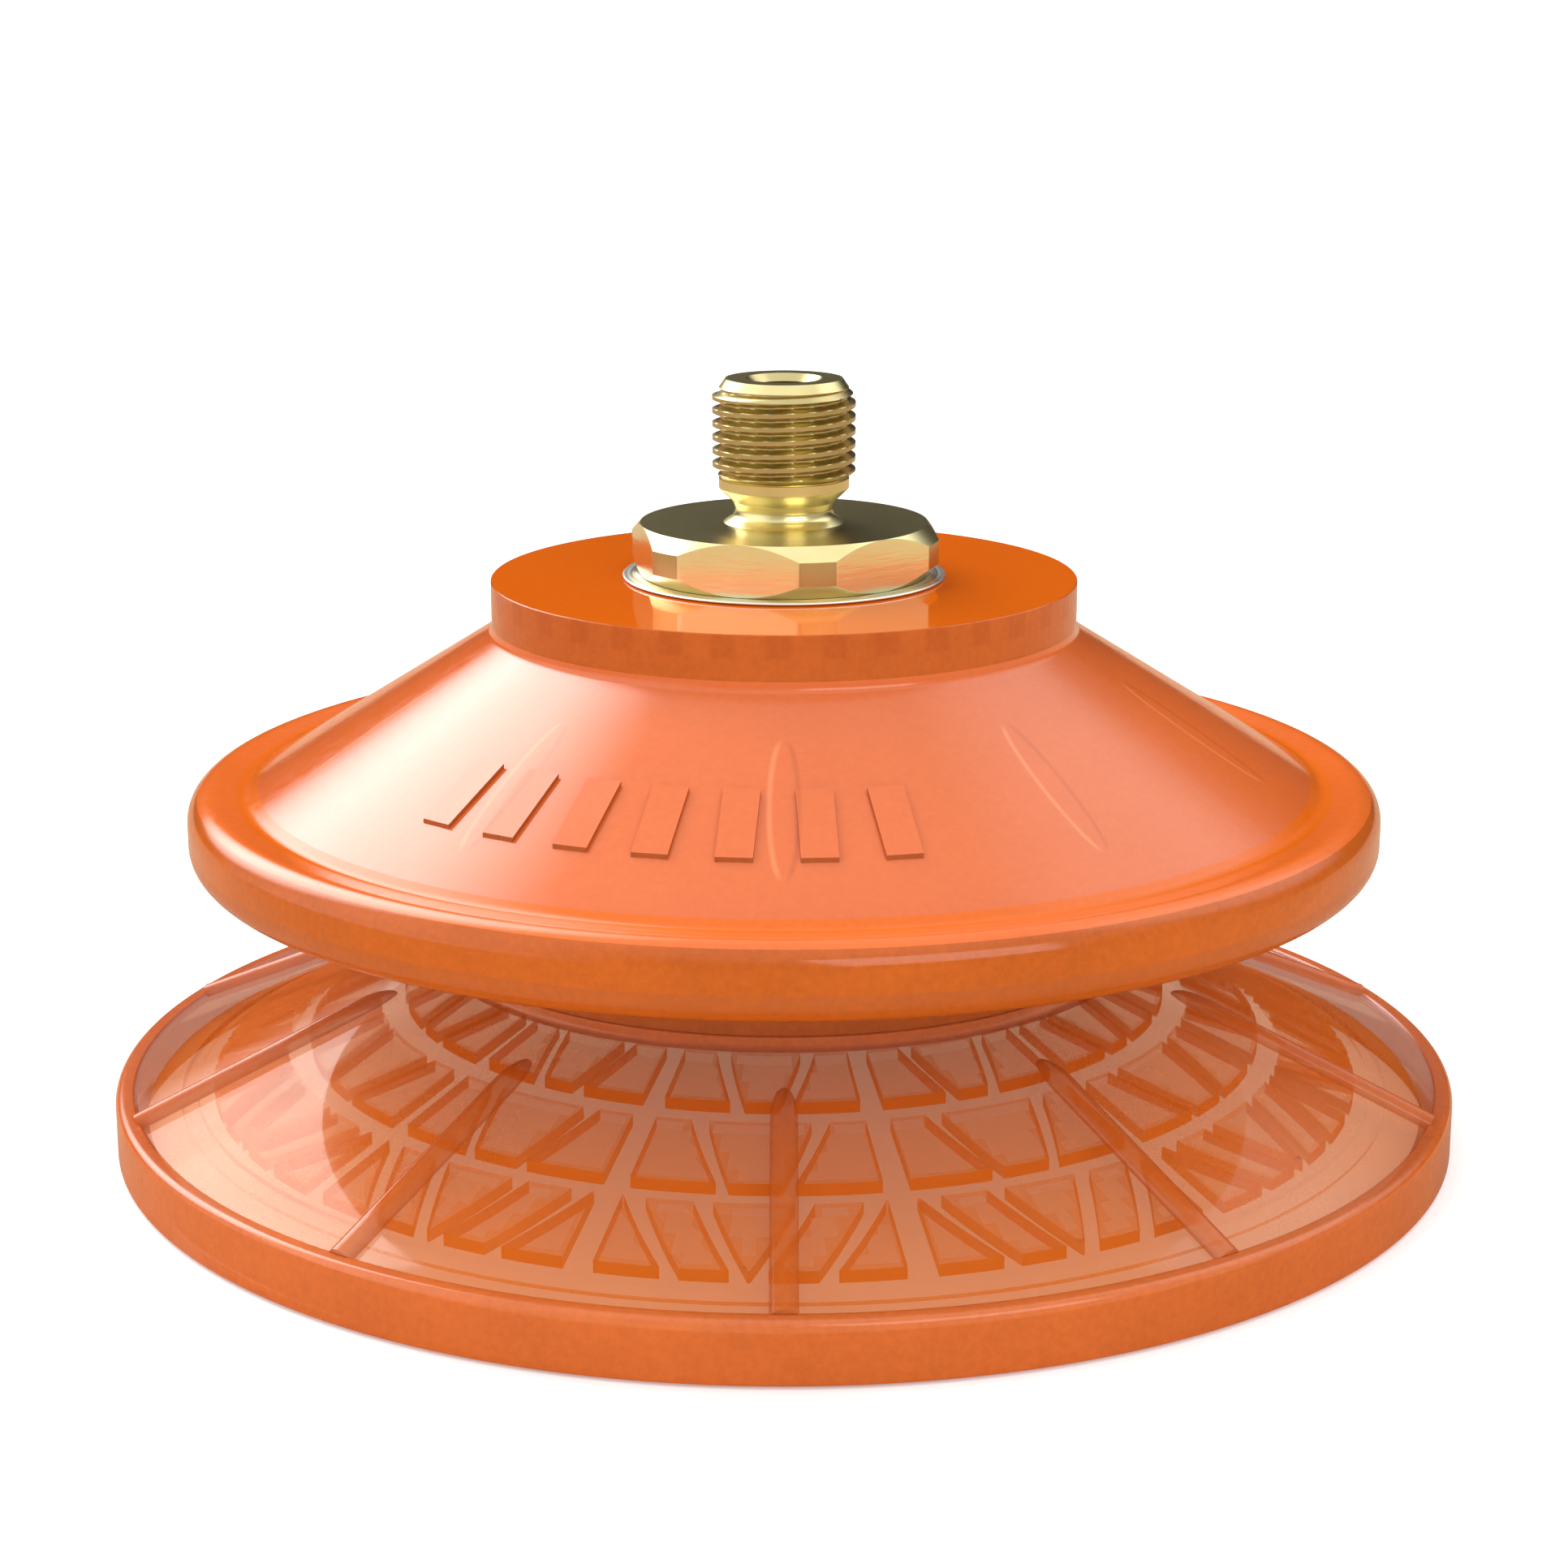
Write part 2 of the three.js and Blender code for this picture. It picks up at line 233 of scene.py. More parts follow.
def box_grid(point, across, along, side, bottom, top):
    """A closed slab: point(u, v, w) maps the unit box, w 0 at the bottom and 1 at the top.
    side, bottom and top are material indices, or side is four of them: at v 0, u 1, v 1 and u 0."""
    verts, index = [], {}
    for w in (0, 1):
        for i in range(across + 1):
            for j in range(along + 1):
                index[i, j, w] = len(verts)
                verts.append(point(i / across, j / along, w))
    faces, marks = [], []
    for i in range(across):
        for j in range(along):
            low = (index[i, j, 0], index[i, j + 1, 0], index[i + 1, j + 1, 0], index[i + 1, j, 0])
            high = (index[i, j, 1], index[i + 1, j, 1], index[i + 1, j + 1, 1], index[i, j + 1, 1])
            faces += [low, high]
            marks += [bottom, top]
    border = [(i, 0) for i in range(across)] + [(across, j) for j in range(along)]
    border += [(i, along) for i in range(across, 0, -1)] + [(0, j) for j in range(along, 0, -1)]
    sides = side if isinstance(side, tuple) else (side,) * 4
    order = [sides[0]] * across + [sides[1]] * along + [sides[2]] * across + [sides[3]] * along
    for a, b, mark in zip(border, border[1:] + border[:1], order):
        faces.append((index[*a, 0], index[*b, 0], index[*b, 1], index[*a, 1]))
        marks.append(mark)
    return verts, faces, marks


# ---- material helpers ------------------------------------------------------------------------
class Nodes:
    """Short names for building the nodes of one material or world, its owner."""

    def __init__(self, owner, coordinates="Object"):
        owner.use_nodes = True
        self.owner = owner
        self.tree = owner.node_tree
        self.shader = self.tree.nodes.get("Principled BSDF")
        self.where = self.add("ShaderNodeTexCoord").outputs[coordinates]

    def add(self, kind, **settings):
        node = self.tree.nodes.new(kind)
        for key, value in settings.items():
            setattr(node, key, value)
        return node

    def link(self, output, socket):
        self.tree.links.new(output, socket)

    def set(self, **values):
        for key, value in values.items():
            self.shader.inputs[key.replace("_", " ")].default_value = value

    def scaled(self, scale):
        node = self.add("ShaderNodeMapping")
        node.inputs["Scale"].default_value = scale
        self.link(self.where, node.inputs["Vector"])
        return node.outputs["Vector"]

    def noise(self, scale, detail=3.0, rough=0.55, where=None):
        node = self.add("ShaderNodeTexNoise")
        node.inputs["Scale"].default_value = scale
        node.inputs["Detail"].default_value = detail
        node.inputs["Roughness"].default_value = rough
        self.link(where or self.where, node.inputs["Vector"])
        return node.outputs["Fac"]

    def ramp(self, value, stops):
        node = self.add("ShaderNodeValToRGB")
        node.color_ramp.elements.remove(node.color_ramp.elements[1])
        node.color_ramp.elements[0].position = stops[0][0]
        node.color_ramp.elements[0].color = (*stops[0][1], 1)
        for position, color in stops[1:]:
            node.color_ramp.elements.new(position).color = (*color, 1)
        self.link(value, node.inputs["Fac"])
        return node.outputs["Color"]

    def range(self, value, low, high, source=(0.3, 0.7)):
        node = self.add("ShaderNodeMapRange")
        for key, number in zip(("From Min", "From Max", "To Min", "To Max"), (*source, low, high)):
            node.inputs[key].default_value = number
        self.link(value, node.inputs["Value"])
        return node.outputs["Result"]

    def calc(self, a, b, operation="ADD"):
        node = self.add("ShaderNodeMath", operation=operation)
        for socket, value in zip(node.inputs, (a, b)):
            if isinstance(value, (int, float)):
                socket.default_value = value
            else:
                self.link(value, socket)
        return node.outputs[0]

    def bump(self, height, depth_mm, strength):
        node = self.add("ShaderNodeBump")
        node.inputs["Strength"].default_value = strength
        node.inputs["Distance"].default_value = depth_mm * MM
        self.link(height, node.inputs["Height"])
        return node.outputs["Normal"]

    def mixed(self, factor, plain, color, blend="MIX"):
        node = self.add("ShaderNodeMix", data_type="RGBA", blend_type=blend)
        self.link(factor, node.inputs["Factor"])
        self.link(plain, node.inputs["A"])
        node.inputs["B"].default_value = (*color, 1)
        return node.outputs["Result"]

    def base_color(self):
        return self.shader.inputs["Base Color"].links[0].from_socket

    def surface(self, first, second):
        """Makes the surface a mix of two shaders, and gives the mix's factor."""
        mix = self.add("ShaderNodeMixShader")
        self.link(first, mix.inputs[1])
        self.link(second, mix.inputs[2])
        self.link(mix.outputs[0], self.tree.nodes["Material Output"].inputs["Surface"])
        return mix.inputs[0]


def around(n):
    """Radius from the axis and the angle round it, as sockets."""
    split = n.add("ShaderNodeSeparateXYZ")
    n.link(n.where, split.inputs[0])
    x, y, z = split.outputs
    angle = n.calc(y, x, "ARCTAN2")
    radius = n.calc(n.calc(n.calc(x, x, "MULTIPLY"), n.calc(y, y, "MULTIPLY")), 0.5, "POWER")
    return radius, angle, z


def linear(red, green, blue):
    """sRGB 0-255 as linear colour, for values above 10."""
    return tuple(((c / 255 + 0.055) / 1.055) ** 2.4 for c in (red, green, blue))


def polyurethane(name, color, deep, cover, roughness, haze=0.04, glow=0.0, tint=(1.0, 0.97, 0.92),
                 ior=1.5, grain=0.006):
    """Moulded polyurethane: clouded colour and fine grain on its cover share, and the rest clear.
    tint is the clear share's, and glow stands for the light scattered inside a thin wall."""
    n = Nodes(bpy.data.materials.new(name))
    cloud = n.noise(120, 4)
    speck = n.noise(1900, 3, 0.7)
    fine = n.noise(900, 3)
    mixed = n.calc(n.calc(cloud, 0.4, "MULTIPLY"), n.calc(speck, 0.6, "MULTIPLY"))
    n.link(n.ramp(mixed, [(0.36, deep), (0.64, color)]), n.shader.inputs["Base Color"])
    n.link(n.range(fine, roughness - haze, roughness + haze), n.shader.inputs["Roughness"])
    if grain:
        n.link(n.bump(speck, grain, 0.3), n.shader.inputs["Normal"])
    n.set(IOR=ior)
    if glow:
        n.set(Emission_Color=(*color, 1), Emission_Strength=glow)
    if cover < 1:
        clear = n.add("ShaderNodeBsdfTransparent")
        clear.inputs["Color"].default_value = (*tint, 1)
        n.surface(clear.outputs[0], n.shader.outputs[0]).default_value = cover
    return n


def with_teeth(n):
    """Darker upright patches: the insert's teeth, which show faintly through the collar's wall."""
    _, angle, z = around(n)

    def band(strength, low, low_full, high_full, high):
        start = n.range(z, 0, strength, (low * MM, low_full * MM))
        end = n.range(z, 1, 0, (high_full * MM, high * MM))
        return n.calc(start, end, "MULTIPLY")

    beat = n.calc(n.calc(n.calc(angle, TEETH_SEEN, "MULTIPLY"), TOOTH_TURN), 0, "COSINE")
    patch = n.range(beat, 0, 1, (-0.1, 0.35))
    bands = n.calc(band(1, 36.85, 37.05, 38.45, 38.6), band(0.45, 35.0, 35.2, 35.5, 35.7))
    mask = n.calc(patch, bands, "MULTIPLY")
    shade = n.mixed(mask, n.base_color(), (0.92, 0.87, 0.76), "MULTIPLY")
    n.link(shade, n.shader.inputs["Base Color"])
    return n


def with_streaks(n):
    """Thin lines, a painted highlight on one side and painted shade on the other: the inner ribs'
    edges, as they show through the cone's wall."""
    radius, angle, _ = around(n)
    turn = n.calc(n.calc(angle, RIB_COUNT / TAU, "MULTIPLY"), RIB_COUNT / 4)
    off = n.calc(turn, n.calc(turn, 0, "ROUND"), "SUBTRACT")
    across = n.calc(n.calc(off, TAU / RIB_COUNT, "MULTIPLY"), radius, "MULTIPLY")
    middle, half = (RIB_IN[0] + RIB_IN[1]) / 2 * MM, (RIB_IN[1] - RIB_IN[0]) / 2 * MM
    span = n.calc(n.calc(radius, middle, "SUBTRACT"), half, "DIVIDE")
    room = n.calc(1, n.calc(span, span, "MULTIPLY"), "SUBTRACT")
    width = n.calc(n.calc(n.calc(room, 0, "MAXIMUM"), 0, "SQRT"), RIB_IN_HALF * MM, "MULTIPLY")
    from_edge = n.calc(n.calc(n.calc(across, 0, "ABSOLUTE"), width, "SUBTRACT"), 0, "ABSOLUTE")
    near_edge = n.range(from_edge, 1, 0, (0.04 * MM, 0.26 * MM))
    line = n.calc(near_edge, n.range(room, 0, 1, (0.0, 0.25)), "MULTIPLY")
    left = n.calc(line, n.range(across, 0.34, 0, (-0.1 * MM, 0.1 * MM)), "MULTIPLY")
    right = n.calc(line, n.range(across, 0, 0.40, (-0.1 * MM, 0.1 * MM)), "MULTIPLY")
    # The pale colour is a painted highlight on one edge, and the deep colour is painted shade on
    # the other.
    for mask, color in ((left, (0.9, 0.34, 0.15)), (right, (0.40, 0.07, 0.015))):
        n.link(n.mixed(mask, n.base_color(), color), n.shader.inputs["Base Color"])
    return n


# ---- materials -------------------------------------------------------------------------------
TEETH_SEEN = 36
TOOTH_TURN = 0.6
# The firm polyurethane is one material, here in copies painted lighter or darker for how the light
# falls: the collar top, cone, valley and bead top are painted lighter where they face the light,
# the undersides of the bead and the lower wall are painted darker as shade, and the inner skin is
# painted lighter to make up for the shade behind the outer wall.
firm_skin = polyurethane(
    "firm_polyurethane", (0.56, 0.106, 0.005), (0.45, 0.082, 0.003),
    0.92, 0.12, ior=1.46).owner
firm_wall = with_teeth(polyurethane(
    "firm_collar_wall", (0.57, 0.113, 0.009), (0.48, 0.091, 0.007), 0.94, 0.16, ior=1.42)).owner
firm_top = polyurethane(
    "firm_top", (0.74, 0.130, 0.002), (0.70, 0.122, 0.002), 1.0, 0.05, 0.01, ior=1.52).owner
firm_cone = with_streaks(polyurethane(
    "firm_cone", (0.67, 0.136, 0.030), (0.62, 0.124, 0.026), 1.0, 0.12)).owner
# The bead's top: painted lighter where the light falls on it.
firm_lit_bead = polyurethane(
    "firm_lit_bead", (0.78, 0.150, 0.020), (0.70, 0.132, 0.016), 0.96, 0.12, ior=1.46).owner
# The undersides of the bead and the lower wall: painted shade.
firm_shaded_low = polyurethane(
    "firm_shaded_low", (0.50, 0.095, 0.008), (0.42, 0.080, 0.006), 0.92, 0.16).owner
firm_valley = polyurethane(
    "firm_valley", (0.76, 0.140, 0.006), (0.70, 0.128, 0.004), 0.96, 0.14, ior=1.4).owner
# The inner skin: painted lighter to make up for the shade behind the outer wall.
firm_inside = polyurethane(
    "firm_inside", (0.95, 0.24, 0.07), (0.88, 0.21, 0.06), 0.92, 0.4).owner
pocket = polyurethane(
    "firm_pocket", (0.70, 0.16, 0.03), (0.64, 0.14, 0.02), 0.12, 0.3).owner
SOFT_TINT = (1.0, 0.965, 0.87)
soft_skin = polyurethane(
    "soft_polyurethane", (0.67, 0.146, 0.012), (0.61, 0.132, 0.01), 0.33,
    0.05, 0.02, 0.03, SOFT_TINT, 1.58, 0.002).owner
soft_rib = polyurethane(
    "soft_ribs", (0.66, 0.14, 0.02), (0.58, 0.12, 0.016), 0.66, 0.12, 0.02, 0.03).owner
soft_rim = polyurethane(
    "soft_rim", (0.68, 0.135, 0.014), (0.56, 0.106, 0.010), 0.84, 0.14).owner
# The underside: painted lighter than the top skin to make up for the shade inside the lip.
soft_under = polyurethane(
    "soft_underside", (0.90, 0.27, 0.04), (0.84, 0.25, 0.035),
    0.42, 0.3, 0.04, 0.08, SOFT_TINT, grain=0).owner
# The pads' bottoms: painted lighter still, to cancel the shade in the hollows between the cleats'
# walls.
soft_pad = polyurethane(
    "soft_pads", (0.88, 0.38, 0.13), (0.84, 0.36, 0.12), 0.28, 0.3, 0.04, 0.10, grain=0).owner
outer_side = polyurethane(
    "cleat_outer_sides", (0.76, 0.165, 0.0), (0.72, 0.155, 0.0),
    0.96, 0.4, 0.04, 0.12, grain=0).owner
cross_side = polyurethane(
    "cleat_cross_sides", (0.76, 0.16, 0.0), (0.72, 0.15, 0.0),
    0.8, 0.4, 0.04, 0.08, grain=0).owner
inner_side = polyurethane(
    "cleat_inner_sides", (0.95, 0.15, 0.0), (0.88, 0.135, 0.0),
    0.12, 0.4, 0.04, 0.05, grain=0).owner
# The raised bars' sides: painted darker as shade round the bars.
mark_shade_side = polyurethane(
    "mark_sides", (0.42, 0.085, 0.01), (0.36, 0.07, 0.008), 1.0, 0.3).owner


def brass_material(name, grain, depth, smooth, dark, light):
    """Turned or brushed brass. grain(n) gives the tool marks, depth in millimetres deep."""
    n = Nodes(bpy.data.materials.new(name))
    marks = grain(n)
    stain = n.noise(220, 4)
    n.link(n.ramp(stain, [(0.3, dark), (0.7, light)]), n.shader.inputs["Base Color"])
    n.link(n.range(marks, smooth, smooth + 0.02), n.shader.inputs["Roughness"])
    n.link(n.bump(marks, depth, 0.5), n.shader.inputs["Normal"])
    n.set(Metallic=1.0)
    return n.owner


def turned(n):
    radius, _, z = around(n)
    place = n.add("ShaderNodeCombineXYZ")
    n.link(radius, place.inputs[0])
    n.link(z, place.inputs[2])
    return n.noise(5200, 2, where=place.outputs[0])


def brushed(n):
    return n.noise(1.0, 3, where=n.scaled((420, 420, 3600)))


# One brass in three colours for how the light falls. The turned copy is painted darker and stands
# for the dim reflections on the thread, end face and hexagon top. The bright copy is painted
# lighter, a painted highlight on the chamfers, waist and mouth. The brushed flats are the lightest.
brass_turned = brass_material(
    "brass_turned", turned, 0.0004, 0.25,
    (0.50, 0.42, 0.19), (0.60, 0.51, 0.25))
brass_highlit = brass_material(
    "brass_highlit", turned, 0.0004, 0.25,
    (0.78, 0.67, 0.32), (0.88, 0.78, 0.40))
brass_flats = brass_material(
    "brass_brushed", brushed, 0.024, 0.20,
    (0.95, 0.90, 0.50), (1.0, 0.97, 0.58))


def steel_material(name, color, low, high):
    n = Nodes(bpy.data.materials.new(name))
    marks = turned(n)
    dark = tuple(c * 0.85 for c in color)
    n.link(n.ramp(marks, [(0.3, dark), (0.7, color)]), n.shader.inputs["Base Color"])
    n.link(n.range(marks, low, high), n.shader.inputs["Roughness"])
    n.link(n.bump(marks, 0.003, 0.4), n.shader.inputs["Normal"])
    n.set(Metallic=1.0)
    return n.owner


steel = steel_material("washer_steel", linear(236, 230, 220), 0.26, 0.38)
dark_steel = steel_material("insert_steel", linear(96, 84, 74), 0.3, 0.5)


def rubber_material():
    n = Nodes(bpy.data.materials.new("seal_rubber"))
    n.link(n.ramp(n.noise(700, 4), [(0.3, linear(26, 26, 27)), (0.7, linear(40, 39, 38))]),
           n.shader.inputs["Base Color"])
    n.link(n.range(n.noise(1500, 2), 0.45, 0.7), n.shader.inputs["Roughness"])
    n.link(n.bump(n.noise(2500, 2), 0.02, 0.5), n.shader.inputs["Normal"])
    return n.owner


# ---- upper cup: collar, cone and convolution ---------------------------------------------------
CUP_MATERIALS = [
    firm_skin, firm_inside, pocket, firm_lit_bead, firm_top, firm_cone, firm_wall, firm_valley,
    firm_shaded_low,
]
SKIN, INSIDE, POCKET, BEAD, TOP, CONE, WALL, VALLEY, LOW = range(9)
CHAMFER = 0.06


def cup_skin():
    wall_low = 35.5
    # The valley and the bead's top take copies painted lighter where the light falls, and the
    # bead's underside takes the copy painted as shade.
    valley_r, bead_high, bead_under = 37.7, 24.2, 21.6     # where the looks change round the bead
    top = rounded([(SEAL_SEAT_R, COLLAR_TOP), (COLLAR_R - CHAMFER, COLLAR_TOP)])
    wall = rounded([
        (COLLAR_R - CHAMFER, COLLAR_TOP), (COLLAR_R, COLLAR_TOP - CHAMFER), (COLLAR_R, wall_low),
    ])
    cone = rounded([(COLLAR_R, wall_low), (*CONE_TOP, 1.2), (CREASE_R, cone_z(CREASE_R))])
    edge = rounded([
        (CREASE_R, cone_z(CREASE_R)), (*CONE_LOW, 1.1), (BULGE_R, BULGE_TOP + 0.12, 1.9),
        (BULGE_R, BULGE_LOW - 0.25, 2.6), FOLD_EDGE,
    ], 0.3)
    valley = [p for p in edge if p[0] < valley_r and p[1] > bead_high - 1]
    bead_top = [p for p in edge if p[0] >= valley_r and p[1] > bead_high]
    bead = [p for p in edge if p[0] >= valley_r and bead_under < p[1] <= bead_high]
    bead_low = [p for p in edge if p[1] <= bead_under]
    inner = rounded([
        FOLD_EDGE, (*BEAD_IN, 0.4), (36.2, 22.3, 0.6), (19.15, 32.75, 0.8), (*WALL_IN, 0.4),
        (INSERT_ROOM[1], COLLAR_LOW),
    ])
    hole = [
        (INSERT_ROOM[1], INSERT_ROOM_TOP), (INSERT_ROOM[0], INSERT_ROOM_TOP),
        (INSERT_ROOM[0], COLLAR_LOW),
    ]
    bore = [
        (BORE_R, COLLAR_LOW), (BORE_R, SEAL_SEAT_Z), (SEAL_SEAT_R, SEAL_SEAT_Z),
        (SEAL_SEAT_R, COLLAR_TOP),
    ]
    parts = [
        (top, TOP), (wall, WALL), (cone, CONE), (valley, VALLEY), (bead_top, BEAD), (bead, SKIN),
        (bead_low, LOW), (inner, INSIDE), (hole, POCKET), (bore, INSIDE),
    ]
    cup = lathe("cup_skin", parts, CUP_MATERIALS)
    ribs = [inner_rib(360 * i / RIB_COUNT) for i in range(RIB_COUNT)]
    return combine(cup, joined("inner_ribs", ribs, CUP_MATERIALS), "UNION")


def inner_rib(azimuth):
    """A lens-shaped rib on the inside of the cone."""
    (low_r, high_r), half_width, height = RIB_IN, RIB_IN_HALF, 0.8
    (r0, z0), (r1, z1) = CONE_TOP, CONE_LOW
    slope = math.atan2(z0 - z1, r1 - r0)
    depth = WALL_T / math.cos(slope)

    def point(u, v, w):
        r = low_r + (high_r - low_r) * v
        swell = math.sqrt(max(0.0, 1 - (2 * v - 1) ** 2)) + 0.02
        across = (2 * u - 1) * half_width * swell
        bulge = height * swell * (1 - (2 * u - 1) ** 2)
        z = cone_z(r) - depth + (0.3 if w else -bulge)
        return polar(math.hypot(r, across), azimuth + math.degrees(math.atan2(across, r)), z)

    return box_grid(point, 8, 24, INSIDE, INSIDE, INSIDE)


# ---- raised marks in place of the type mark --------------------------------------------------
def raised_marks():
    """A plain row of low bars on the cone."""
    count, first, last = 7, -42.0, 13.0
    middle_r, length, width, rise = 29.9, 4.8, 2.3, 0.3
    pieces = []
    for i in range(count):
        azimuth = first + (last - first) * i / (count - 1)

        def point(u, v, w, azimuth=azimuth):
            r = middle_r + length * (v - 0.5)
            across = (u - 0.5) * width
            z = cone_z(r) + (rise if w else -0.3)
            return polar(math.hypot(r, across), azimuth + math.degrees(math.atan2(across, r)), z)

        # The bars' sides take the darker colour, which is painted shade. Their tops take the cone's
        # own colour.
        pieces.append(box_grid(point, 4, 8, 1, 1, 0))
    return joined("raised_marks", pieces, [firm_cone, mark_shade_side])


# ---- lower wall and neck -----------------------------------------------------------------------
def fold_skin():
    under = rounded([FOLD_EDGE, (24.7, 16.4, 1.2), (NECK_R, NECK_TOP)])
    over = rounded([(NECK_IN_R, NECK_TOP), (NECK_IN_R, 17.6, 0.6), BEAD_IN, FOLD_EDGE])
    # The under line takes the copy painted darker as the shade below the bead.
    return lathe("fold_skin", [(under, 0), (over, 1)], [firm_shaded_low, firm_inside])


def neck_skin():
    outer = rounded([(NECK_R, NECK_TOP), (NECK_R, NECK_LOW)])
    inner = rounded([(NECK_IN_R, NECK_LOW), (NECK_IN_R, NECK_TOP), (NECK_R, NECK_TOP)])
    return lathe("neck_skin", [(outer, 0), (inner, 1)], [firm_skin, firm_inside])


# ---- lip: dish, rim, ribs and cleats -----------------------------------------------------------
LIP_MATERIALS = [
    soft_skin, soft_under, inner_side, soft_rim, soft_rib, cross_side, outer_side, soft_pad,
]
DISH, UNDER, INNER_SIDE, RIM, RIB, CROSS_SIDE, OUTER_SIDE, PAD = range(8)
RIDGE = (41.0, 42.2)            # concentric ridge outside the cleats
RIDGE_H = 0.3
# One unit of the tread: for each row its radii, then each cleat's edges in degrees from the
# unit's middle: inner left, inner right, outer left, outer right. Mirrored copies are added.
TREAD = [
    ((22.4, 26.55), [(-5.65, 5.65, -2.3, 2.3), (8.0, 13.4, 4.3, 13.4)]),
    ((28.25, 33.2), [(-6.5, 6.5, -2.8, 2.8), (8.8, 13.4, 4.2, 13.5)]),
    ((34.75, 39.9), [(-4.1, 4.1, -0.12, 0.12), (6.1, 11.0, 1.7, 6.0), (13.3, 13.5, 7.7, 13.6)]),
]


def cleat(radii, edges, middle):
    in_left, in_right, out_left, out_right = edges

    def point(u, v, w):
        r = radii[0] + (radii[1] - radii[0]) * v
        left, right = in_left + (out_left - in_left) * v, in_right + (out_right - in_right) * v
        z = dish_z(r, DISH_SKIN - 0.35) if w else dish_z(r, DISH_SKIN + CLEAT_H)
        return polar(r, middle + left + (right - left) * u, z)

    # The pads' bottoms take the copy painted lighter to cancel the shade in their hollows.
    return box_grid(point, 6, 6, (INNER_SIDE, CROSS_SIDE, OUTER_SIDE, CROSS_SIDE), PAD, UNDER)


def rib(azimuth):
    """A half-round rib along the dish, with a drawn-out inner tip."""
    start, end, tip = 27.6, RIM_R - 1.2, 2.6
    sides, steps = 24, 30
    slope = math.atan(DISH_SLOPE)
    verts = []
    for i in range(steps + 1):
        along = (i / steps) ** 1.6
        r = start + (end - start) * along
        share = min(1.0, (r - start) / tip)
        size = RIB_R * max(0.03, math.sqrt(share * (2 - share)))
        for k in range(sides):
            a = TAU * k / sides
            lift = math.sin(a) * size - 0.05
            verts.append(polar(math.hypot(r + lift * math.sin(slope), math.cos(a) * size),
                               azimuth + math.degrees(math.atan2(math.cos(a) * size, r)),
                               dish_z(r) + lift * math.cos(slope)))
    faces = []
    for i in range(steps):
        near, far = i * sides, (i + 1) * sides
        for k in range(sides):
            n = (k + 1) % sides
            faces.append((near + k, far + k, far + n, near + n))
    last = steps * sides
    faces += [tuple(range(sides)), tuple(range(last + sides - 1, last - 1, -1))]
    return verts, faces, [RIB] * len(faces)


def lip_skin():
    edge_r = RIM_R - 1.4
    step_r = NECK_R + 0.16
    dish_start = (NECK_R + 0.6, dish_z(NECK_R + 0.6))
    rim_foot = (edge_r + 0.12, RIM_TOP - 0.1)
    seat = rounded([
        (NECK_IN_R, NECK_LOW), (step_r, NECK_LOW, 0.12), (step_r, dish_z(step_r), 0.3), dish_start,
    ], 0.3)
    top = rounded([dish_start, (edge_r, dish_z(edge_r), 0.25), rim_foot])
    rim = rounded([
        rim_foot, (edge_r + 0.25, RIM_TOP, 0.15), (RIM_R, RIM_TOP, 0.75), (RIM_R, 0, 0.2),
        (edge_r + 0.15, 0, 0.3), (edge_r - 0.75, dish_z(edge_r - 0.75, DISH_SKIN)),
    ], 0.5)
    low = RIDGE[1], dish_z(RIDGE[1], DISH_SKIN)
    under = [
        rounded([(edge_r - 0.75, dish_z(edge_r - 0.75, DISH_SKIN)), low]),
        [(RIDGE[1] - 0.1, low[1] - RIDGE_H)],
        [(RIDGE[0] + 0.1, dish_z(RIDGE[0], DISH_SKIN + RIDGE_H))],
        [(RIDGE[0], dish_z(RIDGE[0], DISH_SKIN))],
        rounded([
            (RIDGE[0], dish_z(RIDGE[0], DISH_SKIN)), (NECK_IN_R, dish_z(NECK_IN_R, DISH_SKIN)),
        ]),
        [(NECK_IN_R, NECK_LOW)],
    ]
    parts = [(seat, RIM), (top, DISH), (rim, RIM)] + [(line, UNDER) for line in under]
    lip = lathe("lip_skin", parts, LIP_MATERIALS)
    cleats = []
    for unit in range(CLEAT_UNITS):
        middle = CLEAT_TURN + 360 * unit / CLEAT_UNITS
        for radii, row in TREAD:
            for edges in row:
                cleats.append(cleat(radii, edges, middle))
                if edges[0] > 0:
                    a, b, c, d = edges
                    cleats.append(cleat(radii, (-b, -a, -d, -c), middle))
    lip = combine(lip, joined("cleats", cleats, LIP_MATERIALS), "UNION")
    ribs = [rib(360 * i / RIB_COUNT) for i in range(RIB_COUNT)]
    return combine(lip, joined("ribs", ribs, LIP_MATERIALS), "UNION")


# ---- brass fitting -----------------------------------------------------------------------------
HEX_FLATS, HEX_ROUND_R, HEX_FACE_R = 19.6, 10.67, 9.8
HEX_TOP, HEX_LOW = FIT_TOP - 9.75, COLLAR_TOP + 0.25
HEX_CHAMFER = 0.95
HEX_TURN = -18.0
MALE = dict(pitch=0.907, low=45.3, high=51.35, root=4.28, crest=4.86)
FEMALE = dict(pitch=0.8, low=43.6, high=51.5, root=2.5, crest=2.1)
THROUGH_R = 2.9                 # the through bore
STRAINER_R = 3.75               # its wider lower end


def thread_radius(thread, z, angle):
    """Radius of a right-hand V thread that runs out over half a turn at each end."""
    phase = ((z - thread["low"]) / thread["pitch"] - angle / TAU) % 1
    wave = min(1.0, max(0.0, 1.62 - 3.7 * abs(phase - 0.5)))
    wave = wave * wave * (3 - 2 * wave) * 0.3 + wave * 0.7
    ends = min(z - thread["low"], thread["high"] - z) / (0.5 * thread["pitch"])
    wave *= min(1.0, max(0.0, ends))
    return thread["root"] + (thread["crest"] - thread["root"]) * wave


def stem_shape(r, z, angle):
    for thread in (MALE, FEMALE):
        near = abs(r - (thread["root"] + thread["crest"]) / 2) < 0.6
        if near and thread["low"] < z < thread["high"]:
            return thread_radius(thread, z, angle)
    return r


